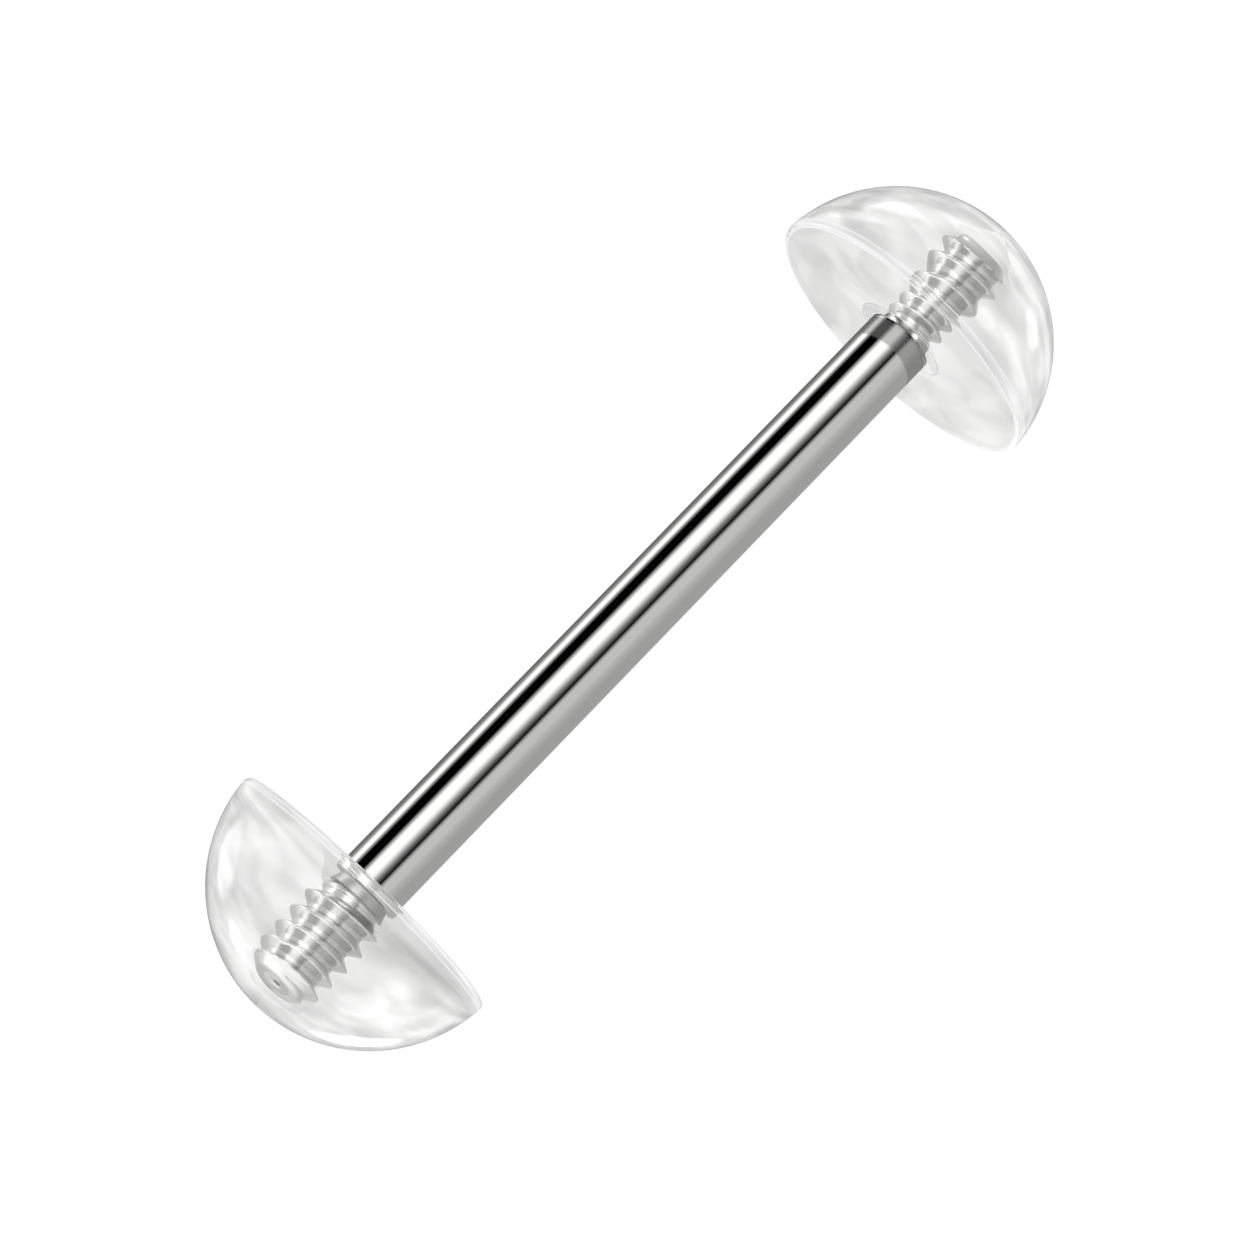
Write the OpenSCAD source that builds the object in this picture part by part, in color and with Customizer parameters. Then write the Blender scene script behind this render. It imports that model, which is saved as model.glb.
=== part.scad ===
// A straight tongue barbell: one steel bar with a threaded post at each end, and a clear
// half ball screwed on each post with its flat face inwards. It lies along X, as it would
// on a table, on the rims of the two half balls. Origin: under its middle, on the table.

/* [Bar] */
// Diameter of the bar, 14 gauge
bar_d = 1.6; // [1.3:0.1:1.8]
// Clear length of bar between the two flat faces
grip_length = 17; // [12:0.5:22]

/* [Thread] */
// Diameter over the thread's crests, below the bar's by this much
thread_step = 0.2; // [0.15:0.05:0.3]
// Distance from one thread crest to the next
thread_pitch = 0.35; // [0.25:0.05:0.4]
// Depth of the thread, from crest to root
thread_depth = 0.19; // [0.12:0.01:0.2]
// How far a post reaches past the flat face
post_reach = 2.1; // [1.6:0.1:2.2]
// Chamfer on the tip of a post
tip_chamfer = 0.2; // [0.1:0.05:0.25]

/* [Half balls] */
// Diameter of the full ball that a half ball is cut from
ball_d = 7; // [6.5:0.5:9]
// How far the cut lies from the ball's centre, on the side that is kept
cut_offset = 0.17; // [0.1:0.01:0.3]
// Rounding of the rim round the flat face
rim_round = 0.12; // [0.05:0.01:0.2]
// How far the countersink's mouth stands out from the bar all round
countersink_lip = 0.3; // [0.2:0.05:0.4]
// Depth of the countersink below the flat face
countersink_depth = 0.28; // [0.26:0.01:0.35]

/* [Fit] */
// Radial gap between the thread's crests and the tapped hole
thread_gap = 0.03; // [0.02:0.01:0.05]
// Space left in the hole past the tip of the post
tip_gap = 0.15; // [0.1:0.05:0.2]

/* [Hidden] */
$fn = 96;

// The bar's end, from the flat face inwards
bar_r = bar_d / 2;
half_grip = grip_length / 2;
wall_past_face = 0.05;
shoulder_past_face = 0.25;
neck_length = 0.1;

// The thread
thread_r = bar_r - thread_step / 2;
root_r = thread_r - thread_depth;
crest_share = 1 / 8;
root_share = 1 / 4;
run_in = 0.12;
thread_start = shoulder_past_face + neck_length;
sides = 24;
rows_a_pitch = 12;
rows = ceil((post_reach - thread_start) / thread_pitch * rows_a_pitch);

// The half ball's outline: a ball cut flat, with its rim rounded by a small circle that
// touches both the flat face and the ball
ball_r = ball_d / 2;
rim_r = sqrt(pow(ball_r - rim_round, 2) - pow(cut_offset + rim_round, 2));
widest_r = rim_r + rim_round;
half_ball_h = ball_r - cut_offset;
touch_r = rim_r * ball_r / (ball_r - rim_round);
touch_h = (cut_offset + rim_round) * ball_r / (ball_r - rim_round) - cut_offset;

// The hole in it
hole_r = thread_r + thread_gap;
hole_depth = post_reach + tip_gap;
drill_point = hole_r * tan(31);
mouth_r = bar_r + countersink_lip;
spare = 0.1;

axis_height = widest_r;

// How far the thread stands out, from 0 at the root to 1 at the crest, at a place given
// as a share of one pitch
function ridge(turn) =
    let (off_crest = abs(turn - floor(turn) - 0.5) * 2)
    min(1, max(0, (1 - root_share - off_crest) / (1 - root_share - crest_share)));

// The post's radius at an angle and a distance past the flat face. The thread is
// right-handed, grows from nothing over the run-in and is cut off by the tip's chamfer.
function post_radius(angle, reach) =
    let (grown = min(1, max(0, (reach - thread_start) / run_in)),
         threaded = root_r + thread_depth * grown * ridge(reach / thread_pitch - angle / 360),
         chamfered = thread_r - tip_chamfer + post_reach - reach)
    min(threaded, chamfered);

function row_reach(row) = row == 0 ? 0 : thread_start
    + (post_reach - thread_start) * (row - 1) / (rows - 1);

// One threaded post along +X from the plane of the flat face. Its first stretch is inside
// the bar's end.
module threaded_post() {
    points = [for (row = [0 : rows], side = [0 : sides - 1])
        let (reach = row_reach(row), angle = 360 * side / sides,
             radius = row == 0 ? root_r : post_radius(angle, reach))
        [reach, radius * cos(angle), radius * sin(angle)]];
    walls = [for (row = [0 : rows - 1], side = [0 : sides - 1])
        let (here = row * sides + side, next = row * sides + (side + 1) % sides)
        each [[here, next + sides, next], [here, here + sides, next + sides]]];
    first_cap = [for (side = [0 : sides - 1]) side];
    last_cap = [for (side = [sides - 1 : -1 : 0]) rows * sides + side];
    polyhedron(points = points, faces = concat(walls, [first_cap, last_cap]), convexity = 8);
}

// The bar's wall up to just past the flat face, then its taper down to the shoulder
module bar_end() {
    translate([half_grip + wall_past_face, 0, 0]) rotate([0, 90, 0])
        cylinder(h = shoulder_past_face - wall_past_face, r1 = bar_r, r2 = thread_r);
    translate([half_grip, 0, 0]) threaded_post();
}

module bar() {
    color([0.72, 0.73, 0.75]) translate([0, 0, axis_height]) {
        rotate([0, 90, 0]) cylinder(h = grip_length + 2 * wall_past_face, r = bar_r, center = true);
        bar_end();
        rotate([0, 0, 180]) bar_end();
    }
}

// Half of the half ball's section, with the flat face on the line y = 0
module half_ball_outline() {
    intersection() {
        translate([0, -cut_offset]) circle(r = ball_r);
        translate([0, touch_h]) square([ball_d, ball_d]);
    }
    translate([rim_r, rim_round]) circle(r = rim_round);
    polygon([[0, 0], [rim_r, 0], [rim_r, rim_round], [touch_r, touch_h], [0, touch_h]]);
}

module hole_outline() {
    polygon([
        [0, -spare], [mouth_r, -spare], [mouth_r, 0], [hole_r, countersink_depth],
        [hole_r, hole_depth], [0, hole_depth + drill_point]
    ]);
}

// A half ball on the end that points along +X
module half_ball() {
    color([0.88, 0.91, 0.93, 0.45]) translate([half_grip, 0, axis_height]) rotate([0, 90, 0])
        rotate_extrude() difference() {
            half_ball_outline();
            hole_outline();
        }
}

module top_half_ball() {
    half_ball();
}

module bottom_half_ball() {
    rotate([0, 0, 180]) half_ball();
}

bar();
top_half_ball();
bottom_half_ball();
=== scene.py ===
"""A straight tongue barbell: a polished steel bar with a clear half ball screwed on each end.

Laid out as a Blender add-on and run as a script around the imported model. Every length is in
metres and every object sits at the origin with its place in its mesh.
"""

import math

import bmesh
import bpy
from mathutils import Matrix, Vector


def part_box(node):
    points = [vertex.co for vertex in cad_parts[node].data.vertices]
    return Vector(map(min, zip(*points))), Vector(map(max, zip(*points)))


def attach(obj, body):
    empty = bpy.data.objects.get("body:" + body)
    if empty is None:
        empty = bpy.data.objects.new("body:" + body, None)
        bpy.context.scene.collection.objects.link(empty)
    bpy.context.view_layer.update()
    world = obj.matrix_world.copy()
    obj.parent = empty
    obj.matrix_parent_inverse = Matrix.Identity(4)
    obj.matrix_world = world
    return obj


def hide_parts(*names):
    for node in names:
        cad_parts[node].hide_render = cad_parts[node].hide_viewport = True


bl_info = {
    "name": "Tongue Barbell",
    "version": (1, 0, 0),
    "blender": (4, 5, 0),
    "location": "3D View > Sidebar > Barbell",
    "description": "Builds a straight barbell with two clear half balls, and its studio",
    "category": "Add Mesh",
}

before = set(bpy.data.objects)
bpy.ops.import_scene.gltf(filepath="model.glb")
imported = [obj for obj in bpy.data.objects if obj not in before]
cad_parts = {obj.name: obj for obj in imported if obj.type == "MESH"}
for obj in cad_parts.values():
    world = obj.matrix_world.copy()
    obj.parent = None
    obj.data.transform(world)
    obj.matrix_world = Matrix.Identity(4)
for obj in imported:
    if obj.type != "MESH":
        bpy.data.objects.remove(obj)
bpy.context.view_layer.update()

MM = 0.001
TURN = 2 * math.pi
WHITE = (1.0, 1.0, 1.0, 1.0)

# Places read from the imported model
BAR_LOW, BAR_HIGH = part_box("bar")
BALL_LOW, BALL_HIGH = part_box("top_half_ball")
AXIS_HEIGHT = (BAR_LOW.z + BAR_HIGH.z) / 2
BAR_RADIUS = (BAR_HIGH.z - BAR_LOW.z) / 2
HALF_GRIP = BALL_LOW.x
BALL_HEIGHT = BALL_HIGH.x - BALL_LOW.x
WIDEST_RADIUS = (BALL_HIGH.z - BALL_LOW.z) / 2
POST_REACH = BAR_HIGH.x - HALF_GRIP

# The same number of sides on every thread and what it joins, so that their rings meet
SIDES = 200
# The dome and its rim have this many times more
DOME_RATIO = 3
# Rows of faces along one pitch of a thread
ROWS_A_PITCH = 26
# Points closer than this are one point
SAME_POINT = 0.0005 * MM
# Names of the vertex values that the acrylic's material reads
BEND = "bend"
MATT = "matt"


def size_property(name, description, millimetres):
    """A length that a user may change."""
    return bpy.props.FloatProperty(
        name=name,
        description=description,
        default=millimetres * MM,
        soft_min=0.0,
        precision=6,
        unit="LENGTH",
    )


def share_property(name, description, share):
    """A plain number from 0 to 1."""
    return bpy.props.FloatProperty(
        name=name, description=description, default=share, min=0.0, max=1.0
    )


def colour_property(name, description, colour):
    """A surface colour."""
    return bpy.props.FloatVectorProperty(
        name=name,
        description=description,
        default=colour,
        size=3,
        min=0.0,
        max=1.0,
        subtype="COLOR",
    )


class BarbellThread(bpy.types.PropertyGroup):
    """The thread on the two posts and in the two holes."""

    pitch: size_property("Pitch", "From one crest to the next", 0.35)
    depth: size_property("Depth", "From crest to root", 0.19)
    crest_radius: size_property("Crest radius", "Of the post's thread", 0.7)
    start: size_property("Start", "Where it begins past the flat face", 0.22)
    run_in: size_property("Run-in", "Length over which it grows", 0.12)
    tip_chamfer: size_property("Tip chamfer", "On the end of a post", 0.24)
    crest_share: share_property("Crest", "Flat crest as a share of the pitch", 0.05)
    root_share: share_property("Root", "Flat root as a share of the pitch", 0.22)
    gap: size_property("Gap", "Between the post's thread and the hole's", -0.006)


class BarbellBar(bpy.types.PropertyGroup):
    """The bar between the posts."""

    wall_past_face: size_property(
        "Wall end", "How far the full bar goes past the flat face", 0.0
    )
    edge: size_property("Edge", "Width of the bevel at the wall's end", 0.018)
    shoulder_past_face: size_property(
        "Shoulder", "Where the bar's step ends past the flat face", 0.04
    )
    neck_radius: size_property("Neck", "Radius between the step and the thread", 0.62)
    dimple_radius: size_property(
        "Centre mark", "Radius of the lathe centre's mark on each tip", 0.08
    )
    steel: colour_property("Steel", "Colour of the polished steel", (0.8, 0.8, 0.79))
    # The valleys' colour is painted shade, darker than the steel down in the thread's roots
    valley_shade: colour_property(
        "Valley", "Colour of the steel in the thread's valleys", (0.77, 0.77, 0.76)
    )
    roughness: share_property("Roughness", "Of the polished steel", 0.045)


class BarbellBall(bpy.types.PropertyGroup):
    """The two clear half balls."""

    cut_offset: size_property("Cut", "From the ball's centre to the flat face", 0.17)
    rim_round: size_property("Rim rounding", "Round the flat face", 0.12)
    countersink_lip: size_property(
        "Countersink lip", "How far its mouth stands out from the bar", 0.3
    )
    countersink_depth: size_property("Countersink depth", "Below the flat face", 0.28)
    hole_depth: size_property("Hole depth", "Below the flat face", 2.25)
    shade_radius: size_property(
        "Shade", "Radius of the flat face that the bar's end mirrors as grey", 2.5
    )
    clear: colour_property("Clear", "Tint of the acrylic", (0.996, 0.994, 0.99))
    # The patches are painted shade in the clear acrylic, placed by noise
    patch: share_property("Patches", "How clear its less clear patches are", 0.7)
    patch_shift: bpy.props.FloatVectorProperty(
        name="Patch shift",
        description="Moves the broad patches through the half balls",
        default=(0.0, 0.013, 0.0),
        size=3,
        subtype="TRANSLATION",
    )
    streak_shift: bpy.props.FloatVectorProperty(
        name="Streak shift",
        description="Moves the narrow patches, in widths of a patch",
        default=(3.1, 1.7, 5.3),
        size=3,
    )
    # The one broad place below is painted shade, darker towards its middle, in the bottom half
    # ball
    painted_shade_middle: bpy.props.FloatVectorProperty(
        name="Smoky place",
        description="Middle of the one broad place that is less clear",
        default=(-0.0091, -0.0027, 0.0),
        size=3,
        subtype="TRANSLATION",
    )
    painted_shade_reach: size_property("Smoky reach", "How far it goes round its middle", 1.7)
    painted_shade_clearness: share_property("Smoky", "How clear it is in its middle", 0.84)
    bending: bpy.props.FloatProperty(
        name="Bending",
        description="Index of refraction of the dome",
        default=1.38,
        min=1.0,
    )
    rim_band: size_property(
        "Rim band", "Height of the band round the flat face, with a line above it", 0.2
    )
    band_line: size_property("Band line", "Width of the line above the rim band", 0.035)
    dome_start: size_property(
        "Bending starts", "Distance from the flat face up to which it bends little", 0.3
    )
    dome_full: size_property(
        "Bending is full", "Distance from the flat face where the dome bends fully", 0.85
    )
    top_bend: share_property("Top dome", "How much of the bending the top dome has", 0.65)
    bottom_bend: share_property(
        "Bottom dome", "How much of the bending the bottom dome has", 0.91
    )


def sizes(name):
    """The add-on's settings, by group."""
    return getattr(bpy.context.scene, "barbell_" + name)


# Turned forms


def ring(bm, reach, radius, sides):
    """Points round the X axis. A radius of 0 makes a single point."""
    points = []
    for side in range(sides if radius > 0 else 1):
        angle = TURN * side / sides
        position = (reach, radius * math.cos(angle), radius * math.sin(angle))
        points.append(bm.verts.new(position))
    return points


def turned(bm, outline, sides=SIDES):
    """Turns an outline of (reach, radius) points round the X axis into the mesh. A third value
    is how strongly the acrylic bends light there, and a fourth how matt it is."""
    layers = bm.verts.layers.float
    marks = [layers.get(name) or layers.new(name) for name in (BEND, MATT)]
    rings = []
    for reach, radius, *values in outline:
        points = ring(bm, reach, radius, sides)
        for vert in points:
            for mark, value in zip(marks, values):
                vert[mark] = value
        rings.append(points)
    for first, second in zip(rings, rings[1:]):
        for side in range(sides):
            after = (side + 1) % sides
            corners = [
                first[side % len(first)],
                first[after % len(first)],
                second[after % len(second)],
                second[side % len(second)],
            ]
            bm.faces.new(list(dict.fromkeys(corners)))


def flat_face(bm, reach, inner, outer):
    """A flat ring with the thread's sides on its inner edge and the dome's on its outer one."""
    near = ring(bm, reach, inner, SIDES)
    far = ring(bm, reach, outer, SIDES * DOME_RATIO)
    for side in range(SIDES):
        first = side * DOME_RATIO
        run = [far[(first + step) % len(far)] for step in range(DOME_RATIO + 1)]
        bm.faces.new([near[(side + 1) % SIDES], near[side], *run])


def arc(centre, radius, start, end, steps):
    """Points of an arc in (reach, radius), with angles in degrees from the reach axis."""
    points = []
    for step in range(steps + 1):
        angle = math.radians(start + (end - start) * step / steps)
        reach = centre[0] + radius * math.cos(angle)
        points.append((reach, centre[1] + radius * math.sin(angle)))
    return points


def closed_mesh(name, bm, smooth_degrees):
    """Turns the finished form into a mesh whose rings are merged and whose faces point out."""
    bmesh.ops.remove_doubles(bm, verts=bm.verts, dist=SAME_POINT)
    bmesh.ops.recalc_face_normals(bm, faces=bm.faces)
    mesh = bpy.data.meshes.new(name)
    bm.to_mesh(mesh)
    bm.free()
    mesh.shade_smooth()
    mesh.set_sharp_from_angle(angle=math.radians(smooth_degrees))
    return mesh


def place(name, mesh, turned_round, material):
    """Puts a form that was made on the +X end where it belongs, in its mesh."""
    if turned_round:
        mesh.transform(Matrix.Rotation(math.pi, 4, "Z"))
    mesh.transform(Matrix.Translation((0, 0, AXIS_HEIGHT)))
    mesh.materials.clear()
    mesh.materials.append(material)
    piece = bpy.data.objects.new(name, mesh)
    bpy.context.collection.objects.link(piece)
    return piece


# The colour inputs of a mix node, which share their names with its other inputs
COLOUR_SOCKETS = {"A": 6, "B": 7}
COLOUR_RESULT = 2


class Nodes:
    """A short way to write a node tree. Every input is a value or another node's output."""

    def __init__(self, tree):
        self.tree = tree

    def add(self, kind, inputs=(), **settings):
        """A new node with its settings and inputs."""
        node = self.tree.nodes.new(kind)
        for key, value in settings.items():
            setattr(node, key, value)
        for key, value in dict(inputs).items():
            if kind == "ShaderNodeMix":
                key = COLOUR_SOCKETS.get(key, key)
            if isinstance(value, bpy.types.NodeSocket):
                self.tree.links.new(value, node.inputs[key])
            else:
                node.inputs[key].default_value = value
        return node

    def out(self, kind, inputs=(), **settings):
        """The first output of a new node."""
        return self.add(kind, inputs, **settings).outputs[0]

    def math(self, operation, *values, clamp=False):
        """The result of one sum."""
        inputs = dict(enumerate(values))
        return self.out("ShaderNodeMath", inputs, operation=operation, use_clamp=clamp)

    def product(self, first, *others):
        """Values multiplied with each other."""
        for other in others:
            first = self.math("MULTIPLY", first, other)
        return first

    def vector(self, operation, *values):
        """The result of one sum of vectors: a vector, or a number for a length or a dot
        product."""
        inputs = dict(enumerate(values))
        node = self.add("ShaderNodeVectorMath", inputs, operation=operation)
        is_number = operation in ("LENGTH", "DOT_PRODUCT")
        return node.outputs["Value" if is_number else "Vector"]

    def parts(self, vector):
        """A vector's X, Y and Z, by name."""
        return self.add("ShaderNodeSeparateXYZ", {0: vector}).outputs

    def spread(self, value, limits, results=(0.0, 1.0), smooth=False):
        """A value between two limits, spread over two results and held within them."""
        inputs = {
            "Value": value,
            "From Min": limits[0],
            "From Max": limits[1],
            "To Min": results[0],
            "To Max": results[1],
        }
        interpolation = "SMOOTHSTEP" if smooth else "LINEAR"
        return self.out("ShaderNodeMapRange", inputs, interpolation_type=interpolation)

    def mix(self, factor, first, second, blend="MIX"):
        """Two colours mixed, added or multiplied."""
        inputs = {"Factor": factor, "A": first, "B": second}
        node = self.add("ShaderNodeMix", inputs, data_type="RGBA", blend_type=blend)
        return node.outputs[COLOUR_RESULT]

    def mapped(self, vector, **changes):
        """A pattern's coordinates, with a location or a scale."""
        inputs = {"Vector": vector}
        inputs.update({name.capitalize(): change for name, change in changes.items()})
        return self.out("ShaderNodeMapping", inputs)

    def noise(self, vector, scale, detail, distortion=0.0):
        """Cloudy noise from 0 to 1."""
        inputs = {
            "Vector": vector,
            "Scale": scale,
            "Detail": detail,
            "Distortion": distortion,
        }
        return self.out("ShaderNodeTexNoise", inputs)

    def bump(self, height, strength, distance):
        """The surface's direction, made uneven by a height."""
        inputs = {"Height": height, "Strength": strength, "Distance": distance}
        return self.out("ShaderNodeBump", inputs)


# The thread, as a geometry node tree

THREAD_INPUTS = (
    ("Sides", "NodeSocketInt"),
    ("Rows", "NodeSocketInt"),
    ("Start", "NodeSocketFloat"),
    ("Length", "NodeSocketFloat"),
    ("Root Radius", "NodeSocketFloat"),
    ("Depth", "NodeSocketFloat"),
    ("Pitch", "NodeSocketFloat"),
    ("Crest Share", "NodeSocketFloat"),
    ("Root Share", "NodeSocketFloat"),
    ("Run In", "NodeSocketFloat"),
    ("Run Out", "NodeSocketFloat"),
    ("Tip Radius", "NodeSocketFloat"),
    ("Material", "NodeSocketMaterial"),
)


def thread_tree():
    """A tube whose wall is a right-handed thread, cut off by a 45 degree chamfer at its tip."""
    tree = bpy.data.node_groups.new("helical_thread", "GeometryNodeTree")
    for name, kind in THREAD_INPUTS:
        tree.interface.new_socket(name, in_out="INPUT", socket_type=kind)
    tree.interface.new_socket(
        "Geometry", in_out="OUTPUT", socket_type="NodeSocketGeometry"
    )
    n = Nodes(tree)
    given = n.add("NodeGroupInput").outputs
    cylinder = {
        "Vertices": given["Sides"],
        "Side Segments": given["Rows"],
        "Radius": 1.0,
        "Depth": 1.0,
    }
    tube = n.out("GeometryNodeMeshCylinder", cylinder, fill_type="NONE")
    parts = n.parts(n.out("GeometryNodeInputPosition"))
    angle = n.math("ARCTAN2", parts["Y"], parts["X"])
    along = n.math("MULTIPLY", n.math("ADD", parts["Z"], 0.5), given["Length"])
    reach = n.math("ADD", along, given["Start"])
    pitches = n.math("DIVIDE", reach, given["Pitch"])
    turns = n.math("SUBTRACT", pitches, n.math("DIVIDE", angle, TURN))
    from_middle = n.math("SUBTRACT", n.math("FRACT", turns), 0.5)
    off_crest = n.math("MULTIPLY", n.math("ABSOLUTE", from_middle), 2.0)
    root_end = n.math("SUBTRACT", 1.0, given["Root Share"])
    ridge = n.spread(off_crest, (root_end, given["Crest Share"]))
    left = n.math("SUBTRACT", given["Length"], along)
    grown = n.math("DIVIDE", along, given["Run In"], clamp=True)
    faded = n.math("DIVIDE", left, given["Run Out"], clamp=True)
    raised = n.product(grown, faded, ridge)
    threaded = n.math("MULTIPLY_ADD", raised, given["Depth"], given["Root Radius"])
    radius = n.math("MINIMUM", threaded, n.math("ADD", left, given["Tip Radius"]))
    moved = {
        "X": reach,
        "Y": n.math("MULTIPLY", radius, parts["X"]),
        "Z": n.math("MULTIPLY", radius, parts["Y"]),
    }
    moved = n.out("ShaderNodeCombineXYZ", moved)
    shaped = n.out("GeometryNodeSetPosition", {"Geometry": tube, "Position": moved})
    real = n.out("GeometryNodeRealizeInstances", {0: shaped})
    painted = {"Geometry": real, "Material": given["Material"]}
    n.add("NodeGroupOutput", {0: n.out("GeometryNodeSetMaterial", painted)})
    return tree


def threaded_tube(tree, values):
    """The tree's result for these values, as a plain mesh."""
    holder = bpy.data.objects.new("thread_work", bpy.data.meshes.new("thread_work"))
    bpy.context.collection.objects.link(holder)
    modifier = holder.modifiers.new("thread", "NODES")
    modifier.node_group = tree
    for item in tree.interface.items_tree:
        if item.in_out == "INPUT":
            modifier[item.identifier] = values[item.name]
    evaluated = holder.evaluated_get(bpy.context.evaluated_depsgraph_get())
    mesh = bpy.data.meshes.new_from_object(evaluated)
    holder.modifiers.clear()
    bpy.data.objects.remove(holder)
    return mesh


def thread_values(start, end, clearance, run_out, tip_radius, material):
    """The thread's inputs between two reaches, the clearance wider than the post's own."""
    thread = sizes("thread")
    length = end - start
    return {
        "Sides": SIDES,
        "Rows": round(length / thread.pitch * ROWS_A_PITCH),
        "Start": start,
        "Length": length,
        "Root Radius": thread.crest_radius - thread.depth + clearance,
        "Depth": thread.depth,
        "Pitch": thread.pitch,
        "Crest Share": thread.crest_share,
        "Root Share": thread.root_share,
        "Run In": thread.run_in,
        "Run Out": run_out,
        "Tip Radius": tip_radius,
        "Material": material,
    }


# The steel's finish

# The polishing lines round the bar: how many there are in a metre along X, Y and Z
POLISH_GRAIN = (60000.0, 900.0, 900.0)
POLISH_DETAIL = 3.0
POLISH_STRENGTH = 0.02
POLISH_HEIGHT = 0.01 * MM
# Clouds in the polish, and the shares of the steel's roughness that they spread over
CLOUD_GRAIN = 260.0
CLOUD_DETAIL = 2.0
CLOUD_LIMITS = (0.3, 0.7)
ROUGHNESS_SHARES = (0.7, 1.4)
# Painted shade: a dark grey is painted over the necks, in the hollow centre marks and on the end
# of the top wall, each with its own strength. The necks are rougher too.
PAINTED_SHADE_GREY = (0.25, 0.25, 0.25, 1.0)
TOP_NECK_SHADE = 0.15
BOTTOM_NECK_SHADE = 0.45
NECK_ROUGHNESS = 0.25
WALL_END_SHADE = 0.8
WALL_END_WIDTH = 0.05 * MM
# The centre mark's painted shade covers this share of its radius
MARK_SHARE = 0.9
# The painted shade in the valleys stops this share of the tip's chamfer before the tip
CHAMFER_SHARE = 0.6


def new_material(name):
    """An empty node material and a way to write its nodes."""
    material = bpy.data.materials.new(name)
    material.use_nodes = True
    material.node_tree.nodes.clear()
    return material, Nodes(material.node_tree)


def from_axis(n, parts):
    """Distance from the bar's axis."""
    height = n.math("SUBTRACT", parts["Z"], AXIS_HEIGHT)
    return n.vector("LENGTH", n.out("ShaderNodeCombineXYZ", {"Y": parts["Y"], "Z": height}))


def steel_material():
    """Mirror-polished stainless steel with faint polishing lines round the bar."""
    bar = sizes("bar")
    thread = sizes("thread")
    material, n = new_material("polished_steel")
    position = n.add("ShaderNodeTexCoord").outputs["Object"]
    lines = n.noise(n.mapped(position, scale=POLISH_GRAIN), 1.0, POLISH_DETAIL)
    clouds = n.noise(position, CLOUD_GRAIN, CLOUD_DETAIL)
    roughness = [bar.roughness * share for share in ROUGHNESS_SHARES]
    rough = n.spread(clouds, CLOUD_LIMITS, roughness)

    parts = n.parts(position)
    reach = n.math("ABSOLUTE", parts["X"])
    radius = from_axis(n, parts)
    wall_end = HALF_GRIP + bar.wall_past_face
    past_start = n.math("GREATER_THAN", reach, HALF_GRIP + thread.start)
    on_neck = n.math("SUBTRACT", n.math("GREATER_THAN", reach, wall_end), past_start)
    tip = HALF_GRIP + POST_REACH - thread.tip_chamfer * CHAMFER_SHARE
    before_tip = n.math("LESS_THAN", reach, tip)
    root = thread.crest_radius - thread.depth
    # Painted shade in the thread's valleys, deepest at their roots
    raised = n.spread(radius, (root, thread.crest_radius))
    on_thread = n.math("MULTIPLY", past_start, before_tip)
    valley_shade = n.math("MULTIPLY", n.math("SUBTRACT", 1.0, raised), on_thread)

    # Painted shade on the necks (darker on the bottom end), in the centre marks and on the last
    # bit of the top end's wall
    at_bottom = n.math("LESS_THAN", parts["X"], 0.0)
    darker = BOTTOM_NECK_SHADE - TOP_NECK_SHADE
    neck_shade = n.math("MULTIPLY_ADD", at_bottom, darker, TOP_NECK_SHADE)
    in_mark = n.math("LESS_THAN", radius, bar.dimple_radius * MARK_SHARE)
    in_mark = n.math("MULTIPLY", in_mark, past_start)
    at_wall_end = n.product(
        n.math("GREATER_THAN", reach, wall_end - WALL_END_WIDTH),
        n.math("LESS_THAN", reach, wall_end),
        n.math("GREATER_THAN", parts["X"], 0.0),
    )
    dark = n.math("MAXIMUM", in_mark, n.math("MULTIPLY", on_neck, neck_shade))
    dark = n.math("MAXIMUM", dark, n.math("MULTIPLY", at_wall_end, WALL_END_SHADE))
    colour = n.mix(valley_shade, (*bar.steel, 1.0), (*bar.valley_shade, 1.0))
    surface = {
        "Base Color": n.mix(dark, colour, PAINTED_SHADE_GREY),
        "Metallic": 1.0,
        "Roughness": n.math("MULTIPLY_ADD", on_neck, NECK_ROUGHNESS, rough),
        "Normal": n.bump(lines, POLISH_STRENGTH, POLISH_HEIGHT),
    }
    shader = n.out("ShaderNodeBsdfPrincipled", surface)
    n.add("ShaderNodeOutputMaterial", {"Surface": shader})
    return material


# The acrylic's finish

# Faint waves in the surface
WAVE_GRAIN = 420.0
WAVE_DETAIL = 1.0
WAVE_STRENGTH = 0.03
WAVE_HEIGHT = 0.05 * MM
# Painted shade in narrow patches, thinner along the bar than across it, and in broad ones,
# placed by noise. Each kind runs from its less clear limit to its clear one, and the narrow ones
# have this share of the tint.
NARROW_GRAIN = (1000.0, 470.0, 470.0)
NARROW_DETAIL = 1.5
NARROW_DISTORTION = 0.8
NARROW_LIMITS = (0.41, 0.57)
NARROW_SHARE = 0.6
BROAD_GRAIN = 260.0
BROAD_DETAIL = 0.5
BROAD_LIMITS = (0.42, 0.54)
# The place of painted shade goes through the half ball from top to bottom and is narrower along
# the bar
PAINTED_SHADE_SHAPE = (1.5, 1.0, 0.0)
# Where it is seen from inside, this much of the bending goes, and all of it where it is matt
INSIDE_EASING = 0.8
MATT_ROUGHNESS = 0.05
# The pale colour that covers matt places, and how much it covers
PALE = (0.96, 0.96, 0.96, 1.0)
PALE_COVER = 0.65
# Light passes this many surfaces before it isn't bent any more
SURFACES = 1.5
# What the steel mirrors of the flat face round it: how much light passes, how much it gives,
# and how deep it goes
SHADE_PASSES = 0.45
SHADE_HAZE = 0.1
SHADE_DEPTH = 0.05 * MM


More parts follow.
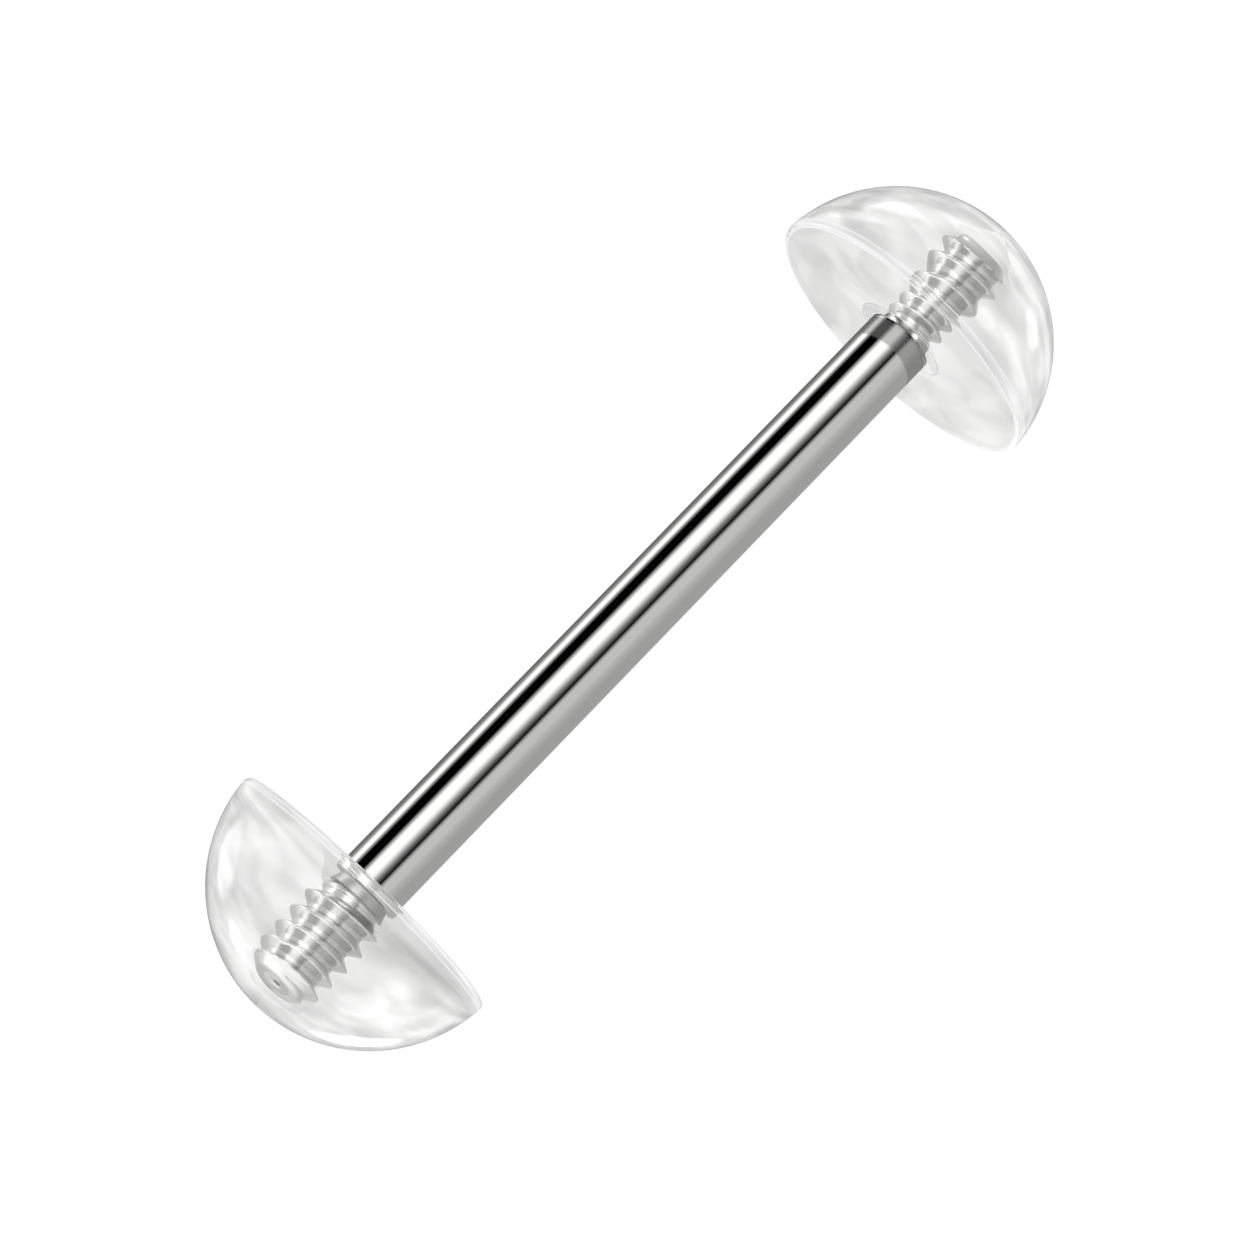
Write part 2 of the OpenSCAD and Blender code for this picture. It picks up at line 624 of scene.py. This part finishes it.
def acrylic_tint(n, position):
    """The acrylic's tint: clear, with painted shade in narrow and broad patches and in one broad
    place.
    """
    ball = sizes("ball")
    narrow = n.mapped(position, location=ball.streak_shift, scale=NARROW_GRAIN)
    narrow = n.noise(narrow, 1.0, NARROW_DETAIL, NARROW_DISTORTION)
    narrow = n.spread(narrow, NARROW_LIMITS, smooth=True)
    broad = n.mapped(position, location=ball.patch_shift)
    broad = n.noise(broad, BROAD_GRAIN, BROAD_DETAIL)
    broad = n.spread(broad, BROAD_LIMITS, smooth=True)
    broad = n.math("MULTIPLY", broad, 1 - NARROW_SHARE)
    clearness = n.math("MULTIPLY_ADD", narrow, NARROW_SHARE, broad)
    patch_tint = [value * ball.patch for value in ball.clear]
    tint = n.mix(clearness, (*patch_tint, 1.0), (*ball.clear, 1.0))
    # Painted shade, darkest at the place's middle
    off_painted_shade = n.vector("SUBTRACT", position, ball.painted_shade_middle)
    distance = n.vector("LENGTH", n.vector("MULTIPLY", off_painted_shade, PAINTED_SHADE_SHAPE))
    painted_shade_tint = n.spread(distance, (0.0, ball.painted_shade_reach), (ball.painted_shade_clearness, 1.0), smooth=True)
    return n.mix(1.0, tint, painted_shade_tint, "MULTIPLY")


def clear_surface(n, position):
    """The acrylic as the camera sees it. The dome bends light somewhat less than the real
    acrylic does, the hole and the rim bend it less again, and the flat face not at all."""
    ball = sizes("ball")
    stated_bend = n.add("ShaderNodeAttribute", attribute_name=BEND).outputs["Fac"]
    matt = n.add("ShaderNodeAttribute", attribute_name=MATT).outputs["Fac"]
    from_inside = n.add("ShaderNodeNewGeometry").outputs["Backfacing"]
    easing = n.math("MULTIPLY", from_inside, n.math("ADD", matt, INSIDE_EASING))
    kept = n.math("SUBTRACT", 1.0, easing, clamp=True)
    bend = n.math("MULTIPLY", stated_bend, kept)
    waves = n.noise(position, WAVE_GRAIN, WAVE_DETAIL)
    surface = {
        "Base Color": acrylic_tint(n, position),
        "Transmission Weight": 1.0,
        "Roughness": n.product(matt, bend, MATT_ROUGHNESS),
        "IOR": n.math("MULTIPLY_ADD", bend, ball.bending - 1, 1.0),
        "Normal": n.bump(waves, WAVE_STRENGTH, WAVE_HEIGHT),
    }
    polished = n.out("ShaderNodeBsdfPrincipled", surface)
    pale = n.out("ShaderNodeBsdfDiffuse", {"Color": PALE})
    covered = n.product(matt, n.math("SUBTRACT", 1.0, from_inside), PALE_COVER)
    return n.out("ShaderNodeMixShader", {0: covered, 1: polished, 2: pale})


def unbent_light(n, position, mirrored):
    """Light that goes straight on. The steel mirrors the flat face round it as grey."""
    ball = sizes("ball")
    parts = n.parts(position)
    reach = n.math("ABSOLUTE", parts["X"])
    on_face = n.math("LESS_THAN", reach, HALF_GRIP + SHADE_DEPTH)
    near = n.math("LESS_THAN", from_axis(n, parts), ball.shade_radius)
    shaded = n.product(near, on_face, mirrored)
    dimming = n.spread(shaded, (0.0, 1.0), (1.0, SHADE_PASSES))
    passed = n.out("ShaderNodeBsdfTransparent", {"Color": dimming})
    haze = n.math("MULTIPLY", shaded, SHADE_HAZE)
    haze = n.out("ShaderNodeBsdfDiffuse", {"Color": haze})
    return n.out("ShaderNodeAddShader", {0: passed, 1: haze})


def acrylic_material():
    """Clear colourless acrylic. Light that has passed two surfaces isn't bent again, and
    neither is light that the steel mirrors past a half ball."""
    material, n = new_material("clear_acrylic")
    position = n.add("ShaderNodeTexCoord").outputs["Object"]
    path = n.add("ShaderNodeLightPath").outputs
    still_outside = n.math("SUBTRACT", 1.0, path["Transmission Depth"], clamp=True)
    mirrored = n.math("MULTIPLY", path["Is Glossy Ray"], still_outside)
    through = n.math("GREATER_THAN", path["Transmission Depth"], SURFACES)
    shaders = {
        0: n.math("MAXIMUM", mirrored, through),
        1: clear_surface(n, position),
        2: unbent_light(n, position, mirrored),
    }
    shader = n.out("ShaderNodeMixShader", shaders)
    n.add("ShaderNodeOutputMaterial", {"Surface": shader})
    return material


# The steel bar

# The bevel at the end of the bar's wall: shares of its width, back from the end and inwards
WALL_BEVEL = ((1.5, 0.0), (1.0, 0.0), (0.3, 0.3), (0.0, 1.0))
# A short step that keeps a corner sharp
CORNER = 0.01 * MM
# Depth of the centre mark as a share of its radius
MARK_DEPTH = 0.8
# The post's thread fades at its tip over this share of its run-in
TIP_FADE = 0.1
# Corners of the steel that turn by more degrees than this are sharp
STEEL_SHARP = 80


def half_bar(material):
    """The half of the bar on the +X side, with its threaded post."""
    bar = sizes("bar")
    thread = sizes("thread")
    root = thread.crest_radius - thread.depth
    tip_radius = thread.crest_radius - thread.tip_chamfer
    wall = HALF_GRIP + bar.wall_past_face
    shoulder = HALF_GRIP + bar.shoulder_past_face
    post = HALF_GRIP + thread.start
    tip = HALF_GRIP + POST_REACH
    fade = thread.run_in * TIP_FADE
    values = thread_values(post, tip, 0.0, fade, tip_radius, material)
    tube = threaded_tube(thread_tree(), values)
    bevel = [
        (wall - bar.edge * back, BAR_RADIUS - bar.edge * inwards)
        for back, inwards in WALL_BEVEL
    ]
    half = bmesh.new()
    turned(
        half,
        [
            (0.0, BAR_RADIUS),
            *bevel,
            (wall + CORNER, BAR_RADIUS - bar.edge - CORNER),
            (shoulder - CORNER, bar.neck_radius + CORNER),
            (shoulder, bar.neck_radius),
            (post - CORNER, bar.neck_radius),
            (post, root),
        ],
    )
    half.from_mesh(tube)
    turned(
        half,
        [
            (tip, min(root, tip_radius)),
            (tip, bar.dimple_radius),
            (tip - bar.dimple_radius * MARK_DEPTH, 0.0),
        ],
    )
    bpy.data.meshes.remove(tube)
    return half


class BARBELL_OT_bar(bpy.types.Operator):
    """Build the steel bar with its two threaded posts"""

    bl_idname = "barbell.bar"
    bl_label = "Steel bar"

    def execute(self, context):
        material = steel_material()
        whole = half_bar(material)
        other = whole.copy()
        bmesh.ops.rotate(other, verts=other.verts, matrix=Matrix.Rotation(math.pi, 3, "Z"))
        other_mesh = bpy.data.meshes.new("other_half")
        other.to_mesh(other_mesh)
        other.free()
        whole.from_mesh(other_mesh)
        bpy.data.meshes.remove(other_mesh)
        mesh = closed_mesh("steel_bar", whole, STEEL_SHARP)
        piece = place("steel_bar", mesh, False, material)
        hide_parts("bar")
        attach(piece, "bar")
        return {"FINISHED"}


# The clear half balls

# A dome's bending near the flat face, as a share of its full bending: this many times what it
# lacks of all the bending, up to the second value
LITTLE_RATIO = 2
MOST_LITTLE = 0.6
# The dome's steps along its outline, in an arc of more degrees than this and in a short one
WIDE_ARC = 10
WIDE_STEPS = 56
SHORT_STEPS = 2
RIM_STEPS = 10
# The rim: how strongly it bends light, how matt its band is and how matt its two lines are.
# The line at the flat face is this many points of the rim wide.
RIM_BEND = 0.4
BAND_MATT = 0.3
LINE_MATT = 1.0
LINE_POINTS = 3
# Half the distance over which the line above the band begins or ends
LINE_EDGE = 0.004 * MM
# Width of the countersink's bevel
MOUTH_EDGE = 0.015 * MM
# The countersink's cone: how strongly it bends light, and how matt it is as a share of the
# mouth
CONE_BEND = 0.2
CONE_MATT = 0.8
# The bevel's points: shares of its width past the flat face and out from the mouth, how
# strongly the acrylic bends light there, and how matt it is as a share of the mouth
MOUTH_POINTS = (
    (0.0, 3.0, 0.0, 0.0),
    (0.0, 2.0, 0.7, 1.0),
    (0.6, 0.0, 0.7, 1.0),
    (2.0, -0.6, 0.7, 1.0),
    (3.0, -1.2, CONE_BEND, CONE_MATT),
)
# How matt the mouth of each half ball's countersink is
TOP_MOUTH = 0.5
BOTTOM_MOUTH = 0.25
# From the countersink's end to the thread's first root
HOLE_STEP = 0.02 * MM
# How strongly the tapped hole bends light, and its drill point's height as a share of its
# radius
HOLE_BEND = 0.8
DRILL_POINT = 0.6
# A radius that is too wide to cut anything off a thread
NO_CHAMFER = 1.0
# Corners of the acrylic that turn by more degrees than this are sharp
ACRYLIC_SHARP = 40


def dome_values(height, dome_bend):
    """How strongly the dome bends light, and how matt it is, at a height above its flat face."""
    ball = sizes("ball")
    share = (height - ball.dome_start) / (ball.dome_full - ball.dome_start)
    share = min(max(share, 0.0), 1.0)
    eased = share * share * (3 - 2 * share)
    little = min((1 - dome_bend) * LITTLE_RATIO, MOST_LITTLE)
    bend = dome_bend * (little + (1 - little) * eased)
    line_start = ball.rim_band - ball.band_line
    if height > ball.rim_band:
        return bend, 0.0
    return bend, LINE_MATT if height > line_start else BAND_MATT


def dome_outline(dome_bend):
    """The outline of the dome and its rim, from the dome's top to the flat face."""
    ball = sizes("ball")
    radius = BALL_HEIGHT + ball.cut_offset
    centre = HALF_GRIP - ball.cut_offset
    rim_centre = WIDEST_RADIUS - ball.rim_round
    touch = math.degrees(math.atan2(rim_centre, ball.cut_offset + ball.rim_round))
    band = ball.rim_band
    line_start = band - ball.band_line
    stops = [0.0]
    for height in (band + LINE_EDGE, band - LINE_EDGE, line_start + LINE_EDGE, line_start):
        stops.append(math.degrees(math.acos((ball.cut_offset + height) / radius)))
    stops.append(touch)
    cap = [(centre + radius, 0.0)]
    for low, high in zip(stops, stops[1:]):
        steps = WIDE_STEPS if high - low > WIDE_ARC else SHORT_STEPS
        cap += arc((centre, 0.0), radius, low, high, steps)[1:]
    rim_middle = (HALF_GRIP + ball.rim_round, rim_centre)
    rim = arc(rim_middle, ball.rim_round, touch, 180.0, RIM_STEPS)
    return (
        [(*point, *dome_values(point[0] - HALF_GRIP, dome_bend)) for point in cap]
        + [(*point, RIM_BEND, BAND_MATT) for point in rim[1:-LINE_POINTS]]
        + [(*point, RIM_BEND, LINE_MATT) for point in rim[-LINE_POINTS:]]
    )


def countersink_outline(start, root, mouth_matt):
    """The outline of the countersink, from the flat face to the thread's first root."""
    ball = sizes("ball")
    thread = sizes("thread")
    mouth = BAR_RADIUS + ball.countersink_lip
    cone_end = HALF_GRIP + ball.countersink_depth
    crest = thread.crest_radius + thread.gap
    bevel = [
        (HALF_GRIP + MOUTH_EDGE * past, mouth + MOUTH_EDGE * out, bend, mouth_matt * matt)
        for past, out, bend, matt in MOUTH_POINTS
    ]
    return [
        *bevel,
        (cone_end, crest, CONE_BEND, mouth_matt * CONE_MATT),
        (start, root, 0.0),
    ]


def add_tapped_hole(bm, tree, start, root, material):
    """Adds the hole's thread and its drill point."""
    thread = sizes("thread")
    end = HALF_GRIP + sizes("ball").hole_depth
    values = thread_values(start, end, thread.gap, thread.run_in, NO_CHAMFER, material)
    tube = threaded_tube(tree, values)
    made = len(bm.verts)
    bm.from_mesh(tube)
    bpy.data.meshes.remove(tube)
    bm.verts.ensure_lookup_table()
    bends = bm.verts.layers.float[BEND]
    beside_post = HALF_GRIP + POST_REACH - thread.tip_chamfer
    for vert in bm.verts[made:]:
        if vert.co.x < beside_post:
            vert[bends] = HOLE_BEND
    turned(bm, [(end, root), (end + root * DRILL_POINT, 0.0)])


def half_ball_form(tree, dome_bend, mouth_matt, material):
    """A clear half ball on the +X end, with its tapped hole."""
    ball = sizes("ball")
    thread = sizes("thread")
    root = thread.crest_radius - thread.depth + thread.gap
    start = HALF_GRIP + ball.countersink_depth + HOLE_STEP
    outer = WIDEST_RADIUS - ball.rim_round - MOUTH_EDGE
    countersink = countersink_outline(start, root, mouth_matt)
    inner = countersink[0][1]
    bm = bmesh.new()
    dome = dome_outline(dome_bend)
    turned(bm, [*dome, (HALF_GRIP, outer, 0.0)], SIDES * DOME_RATIO)
    flat_face(bm, HALF_GRIP, inner, outer)
    turned(bm, countersink)
    add_tapped_hole(bm, tree, start, root, material)
    return bm


class BARBELL_OT_half_balls(bpy.types.Operator):
    """Build the two clear half balls with their tapped holes"""

    bl_idname = "barbell.half_balls"
    bl_label = "Clear half balls"

    def execute(self, context):
        ball = sizes("ball")
        material = acrylic_material()
        tree = thread_tree()
        for node, turned_round, dome_bend, mouth_matt in (
            ("top_half_ball", False, ball.top_bend, TOP_MOUTH),
            ("bottom_half_ball", True, ball.bottom_bend, BOTTOM_MOUTH),
        ):
            name = "clear_" + node
            bm = half_ball_form(tree, dome_bend, mouth_matt, material)
            mesh = closed_mesh(name, bm, ACRYLIC_SHARP)
            piece = place(name, mesh, turned_round, material)
            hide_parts(node)
            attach(piece, node)
        return {"FINISHED"}


# The studio

CAMERA_DISTANCE = 75 * MM
SENSOR_WIDTH = 36
NEAREST_SEEN = 1 * MM
FARTHEST_SEEN = 10
# The photograph's angle: the bar's turn from the picture's horizontal and its tilt away
PICTURE_TURN = math.radians(45.9)
PICTURE_TILT = math.radians(11.1)
# The photograph is this many pixels wide, and has this many to a millimetre of the bar
PICTURE_PIXELS = 1254
PIXELS_A_MM = 46.05
PICTURE_WIDTH = PICTURE_PIXELS / PIXELS_A_MM * MM
OFF_CENTRE_RIGHT = 0.25 * MM
OFF_CENTRE_UP = 0.382 * MM
FLOOR_HALF = 2.0


def camera_axes():
    """The camera's right, up and forward, for a level camera that sees the bar as given."""
    across = math.cos(PICTURE_TURN) * math.cos(PICTURE_TILT)
    upward = math.sin(PICTURE_TURN) * math.cos(PICTURE_TILT)
    away = math.sin(PICTURE_TILT)
    level = math.hypot(upward, away)
    right = Vector((across, -level, 0))
    forward = Vector((away, away / level * across, -upward / level))
    return right, right.cross(forward), forward


def add_camera():
    """Sets the camera at the photograph's angle."""
    right, up, forward = camera_axes()
    data = bpy.data.cameras.new("photo_camera")
    data.sensor_width = SENSOR_WIDTH
    data.lens = SENSOR_WIDTH * CAMERA_DISTANCE / PICTURE_WIDTH
    data.clip_start = NEAREST_SEEN
    data.clip_end = FARTHEST_SEEN
    camera = bpy.data.objects.new("photo_camera", data)
    position = Vector((0, 0, AXIS_HEIGHT)) - forward * CAMERA_DISTANCE
    position = position - right * OFF_CENTRE_RIGHT - up * OFF_CENTRE_UP
    turn = Matrix((right, up, -forward)).transposed()
    camera.matrix_world = Matrix.Translation(position) @ turn.to_4x4()
    bpy.context.collection.objects.link(camera)
    bpy.context.scene.camera = camera


# The studio's bands as the bar mirrors them: degrees round the bar from the camera's side,
# positive to the lower right, and how bright it is there
STUDIO_BANDS = (
    ("floor behind the bar", -180, 0.16),
    ("floor behind ends", -148, 0.16),
    ("horizon behind", -127, 0.31),
    ("low strip's soft edge", -117, 0.85),
    ("low strip begins", -109, 1.4),
    ("low strip ends", -100, 1.3),
    ("its soft fall", -90, 0.32),
    ("upper flag begins", -81.5, 0.0),
    ("upper flag ends", -54, 0.0),
    ("main light's soft edge", -46, 0.48),
    ("main light begins", -38, 1.25),
    ("main light ends", -16, 1.25),
    ("its soft fall", -9, 0.87),
    ("its fall at the camera", 0, 0.35),
    ("its fall past the camera", 8, 0.12),
    ("lower flag begins", 15, 0.01),
    ("lower flag ends", 19, 0.01),
    ("grey wall's edge", 25, 0.38),
    ("grey wall begins", 31, 0.65),
    ("grey wall", 53, 0.64),
    ("grey wall's lower part", 66, 0.53),
    ("grey wall's foot", 90, 0.42),
    ("floor before the bar", 150, 0.41),
    ("floor under the bar", 180, 0.4),
)
# A new colour ramp has this many stops already
FIRST_STOPS = 2
# Past the bar's two ends the studio fades to a dim end and a bright one
END_LIMITS = (0.45, 0.85)
TOP_END_LIGHT = (0.16, 0.16, 0.16, 1.0)
BOTTOM_END_LIGHT = (0.95, 0.95, 0.95, 1.0)

# Round softboxes that the domes mirror: direction, half width in degrees and brightness. They
# lie outside the directions that the bar mirrors.
SOFTBOXES = (
    ("left", (-0.42, 0.8, -0.42), 12, 3.0),
    ("lower left", (-0.76, 0.45, -0.47), 6, 5.0),
    ("below", (-0.42, -0.24, -0.87), 9, 3.2),
    ("front", (-0.77, -0.6, -0.22), 11, 3.0),
    ("above", (0.72, 0.69, -0.05), 12, 3.8),
    ("right", (0.68, -0.57, 0.45), 7, 5.5),
    ("lower right", (0.79, -0.51, -0.35), 7, 4.0),
)
# A softbox's light falls off between these shares of its half width
SOFTBOX_FULL = 0.75
SOFTBOX_OUT = 1.35

# The cloudy light behind the acrylic, and how bright it is between its limits
HAZE_SHIFT = (0.5, 0.0, 0.0)
HAZE_STRETCH = (2.0, 1.0, 1.0)
HAZE_GRAIN = 5.0
HAZE_DETAIL = 2.0
HAZE_LIMITS = (0.36, 0.64)
HAZE_LIGHT = (0.78, 1.17)

# What the thread mirrors: a light on one side, and the bands, a little brighter
SIDE_LIGHT_WAY = (0.0, 0.95, 0.3)
SIDE_LIGHT_LIMITS = (-0.7, 0.6)
SIDE_LIGHT = (0.78, 1.9)
BAND_GAIN = (1.25, 1.25, 1.25, 1.0)
BAND_SHARE = 0.6


def band_light(n, way):
    """The bands of light round the bar, and the plain light past its two ends."""
    parts = n.parts(way)
    # The angle round the bar is 0 where it faces the camera and positive towards -Y
    forward = camera_axes()[2]
    toward = math.atan2(-forward.z, -forward.y)
    angle = n.math("ARCTAN2", parts["Z"], parts["Y"])
    off = n.math("SUBTRACT", angle, toward)
    share = n.math("FRACT", n.math("ADD", n.math("DIVIDE", off, TURN), 0.5))
    ramp = n.add("ShaderNodeValToRGB", {0: share})
    stops = ramp.color_ramp.elements
    for index, (_, degrees, bright) in enumerate(STUDIO_BANDS):
        where = degrees / 360 + 0.5
        stop = stops[index] if index < FIRST_STOPS else stops.new(where)
        stop.position = where
        stop.color = (bright, bright, bright, 1.0)
    light = ramp.outputs[0]
    for side, end_light in ((1, TOP_END_LIGHT), (-1, BOTTOM_END_LIGHT)):
        past_end = n.spread(parts["X"], [side * limit for limit in END_LIMITS])
        light = n.mix(past_end, light, end_light)
    return light


def with_softboxes(n, way, light):
    """Adds the softboxes to the studio's light."""
    for _, direction, degrees, strength in SOFTBOXES:
        toward_box = n.vector("DOT_PRODUCT", way, Vector(direction).normalized())
        limits = [
            math.cos(math.radians(degrees * share))
            for share in (SOFTBOX_OUT, SOFTBOX_FULL)
        ]
        lit = n.spread(toward_box, limits, (0.0, strength), smooth=True)
        light = n.mix(1.0, light, lit, "ADD")
    return light


def thread_light(n, way, bands):
    """What the thread mirrors inside a half ball."""
    toward_side = n.vector("DOT_PRODUCT", way, SIDE_LIGHT_WAY)
    side_light = n.spread(toward_side, SIDE_LIGHT_LIMITS, SIDE_LIGHT)
    return n.mix(BAND_SHARE, side_light, n.mix(1.0, bands, BAND_GAIN, "MULTIPLY"))


def add_world():
    """Sets the studio's light. The camera sees white, the bar and the domes mirror the bands
    and the softboxes, and through the acrylic there is cloudy light and the thread's own."""
    world = bpy.data.worlds.new("studio")
    bpy.context.scene.world = world
    world.use_nodes = True
    world.node_tree.nodes.clear()
    n = Nodes(world.node_tree)
    way = n.add("ShaderNodeTexCoord").outputs["Generated"]
    path = n.add("ShaderNodeLightPath").outputs
    bands = band_light(n, way)
    drawn_out = n.mapped(way, location=HAZE_SHIFT, scale=HAZE_STRETCH)
    haze = n.spread(n.noise(drawn_out, HAZE_GRAIN, HAZE_DETAIL), HAZE_LIMITS, HAZE_LIGHT)
    off_steel = n.math("MINIMUM", path["Glossy Depth"], 1.0)
    through = n.mix(off_steel, haze, thread_light(n, way, bands))
    direct = n.mix(path["Is Glossy Ray"], WHITE, with_softboxes(n, way, bands))
    past_acrylic = n.math("MINIMUM", path["Transmission Depth"], 1.0)
    seen = n.mix(past_acrylic, direct, through)
    light = n.out("ShaderNodeBackground", {"Color": seen, "Strength": 1.0})
    n.add("ShaderNodeOutputWorld", {"Surface": light})


def add_floor():
    """Lays a white floor that only the camera sees, and that takes no shadow."""
    mesh = bpy.data.meshes.new("floor")
    half = FLOOR_HALF
    corners = [(-half, -half, 0), (half, -half, 0), (half, half, 0), (-half, half, 0)]
    mesh.from_pydata(corners, [], [(0, 1, 2, 3)])
    floor = bpy.data.objects.new("floor", mesh)
    bpy.context.collection.objects.link(floor)
    material, n = new_material("floor")
    glow = n.out("ShaderNodeEmission", {"Color": WHITE, "Strength": 1.0})
    n.add("ShaderNodeOutputMaterial", {"Surface": glow})
    mesh.materials.append(material)
    floor.visible_glossy = False
    floor.visible_transmission = False
    floor.visible_diffuse = False
    floor.visible_shadow = False


class BARBELL_OT_stage(bpy.types.Operator):
    """Set the floor, the studio's light and the camera"""

    bl_idname = "barbell.stage"
    bl_label = "Floor, light and camera"

    def execute(self, context):
        add_camera()
        add_world()
        add_floor()
        scene = context.scene
        scene.view_settings.view_transform = "Standard"
        scene.view_settings.look = "None"
        scene.cycles.transmission_bounces = 16
        scene.cycles.max_bounces = 24
        scene.cycles.glossy_bounces = 12
        scene.cycles.use_denoising = True
        return {"FINISHED"}


class BARBELL_PT_panel(bpy.types.Panel):
    """The barbell's settings and steps"""

    bl_idname = "BARBELL_PT_panel"
    bl_label = "Tongue barbell"
    bl_space_type = "VIEW_3D"
    bl_region_type = "UI"
    bl_category = "Barbell"

    def draw(self, context):
        for name, group in GROUPS.items():
            box = self.layout.box()
            box.label(text=name.capitalize())
            for key in group.__annotations__:
                box.prop(sizes(name), key)
        for step in STEPS:
            self.layout.operator(step.bl_idname)


GROUPS = {"thread": BarbellThread, "bar": BarbellBar, "ball": BarbellBall}
STEPS = (BARBELL_OT_stage, BARBELL_OT_bar, BARBELL_OT_half_balls)


def register():
    """Makes the settings, the steps and the panel known to Blender."""
    for part in (*GROUPS.values(), *STEPS, BARBELL_PT_panel):
        bpy.utils.register_class(part)
    for name, group in GROUPS.items():
        pointer = bpy.props.PointerProperty(type=group)
        setattr(bpy.types.Scene, "barbell_" + name, pointer)


def unregister():
    """Takes them away again."""
    for name in GROUPS:
        delattr(bpy.types.Scene, "barbell_" + name)
    for part in (BARBELL_PT_panel, *reversed(STEPS), *reversed(GROUPS.values())):
        bpy.utils.unregister_class(part)


def main():
    register()
    bpy.ops.barbell.stage()
    bpy.ops.barbell.bar()
    bpy.ops.barbell.half_balls()


if __name__ == "__main__":
    main()
